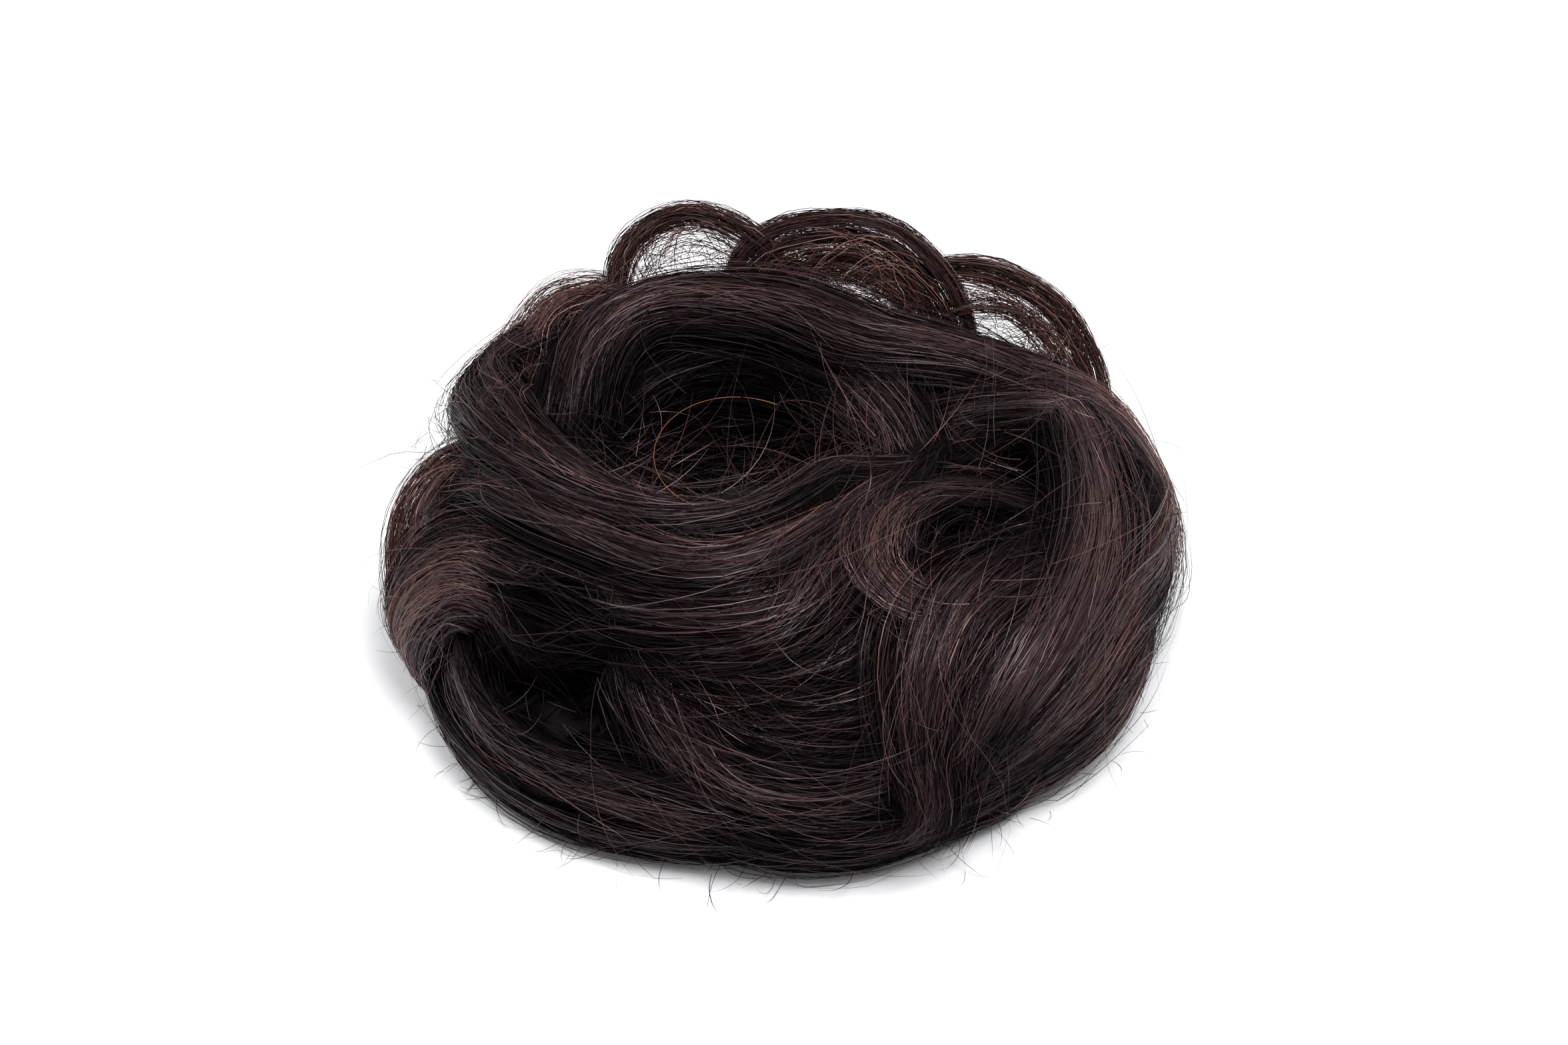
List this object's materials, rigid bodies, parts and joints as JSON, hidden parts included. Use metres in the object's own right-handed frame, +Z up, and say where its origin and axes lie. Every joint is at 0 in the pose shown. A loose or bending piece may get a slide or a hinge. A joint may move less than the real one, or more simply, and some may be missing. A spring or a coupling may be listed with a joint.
{
  "type": "messy bun hairpiece",
  "caption": "Ring of wavy dark hair locks on an elastic band, with thin loops at the back and a round hole for the wearer's own bun.",
  "frame": {"origin": "middle of the footprint's box, on the surface that the bun lies on", "axes": "+Z up through the hole, +X to the right and +Y away from the camera as in the picture"},
  "size_m": [0.132, 0.1202, 0.0532],
  "materials": {
    "hair": "very dark brown wavy hair fibre, satin sheen with greyish highlights",
    "teased_hair": "near black teased hair, matt",
    "elastic": "black woven elastic cord, matt"
  },
  "bodies": {
    "root": {"elastic_band": "elastic", "hair_roll": "teased_hair", "tail_lock": "hair", "curl_eye": "hair", "mid_fall": "hair", "fall_inner": "hair", "fall_outer": "hair", "crown_lock": "hair", "sweep_inner": "hair", "sweep_mid": "hair", "sweep_outer": "hair", "front_swirl": "hair", "front_swirl_low": "hair", "front_under": "hair", "tail_side": "hair", "curl_right": "hair", "crown_inner": "hair", "hole_lock": "hair", "curl_left": "hair", "rim_left": "hair", "rim_front": "hair", "rim_right": "hair", "rim_left_low": "hair", "back_fall": "hair", "rim_back_left": "hair", "rim_back_right": "hair", "loop_left": "hair", "loop_back_left": "hair", "loop_back": "hair", "loop_crown": "hair", "loop_crown_inner": "hair", "loop_right_outer": "hair", "loop_right_inner": "hair"}
  },
  "joints": []
}
